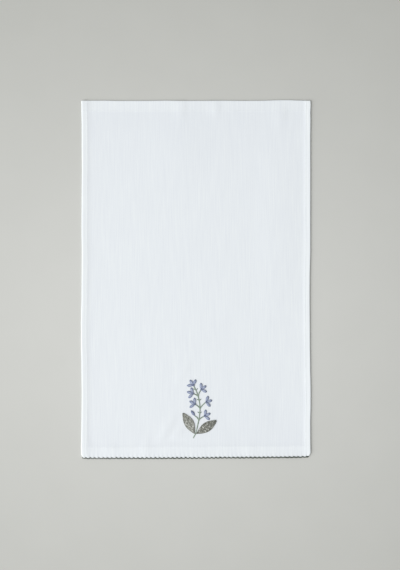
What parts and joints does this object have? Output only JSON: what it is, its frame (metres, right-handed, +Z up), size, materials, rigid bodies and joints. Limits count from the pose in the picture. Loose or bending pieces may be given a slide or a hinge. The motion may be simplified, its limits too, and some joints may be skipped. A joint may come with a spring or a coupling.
{
  "type": "tea towel",
  "caption": "White cotton tea towel lying flat, with turned hems, a lower edge drawn into scallops by dark green overcast thread, and a raised embroidered sprig above the lower hem.",
  "frame": {"origin": "centre of the towel's outline, on the surface it lies on", "axes": "+X to the right across the towel, +Y along it towards the upper hem, +Z up out of its face"},
  "size_m": [0.449, 0.701, 0.0026],
  "materials": {
    "cotton": "plain-woven slubbed cotton, matt",
    "edging_thread": "twisted cotton thread, soft sheen",
    "stem_thread": "embroidery thread, satin",
    "leaf_thread": "embroidery thread, satin",
    "petal_thread": "embroidery thread, satin"
  },
  "bodies": {
    "root": {"cloth": "cotton", "edging": "edging_thread", "sprig_stem": "stem_thread", "sprig_leaf_left": "leaf_thread", "sprig_leaf_right": "leaf_thread", "sprig_bud": "petal_thread", "sprig_floret_1": "petal_thread", "sprig_floret_2": "petal_thread", "sprig_floret_3": "petal_thread", "sprig_floret_4": "petal_thread", "sprig_floret_5": "petal_thread", "sprig_floret_6": "petal_thread"}
  },
  "joints": []
}
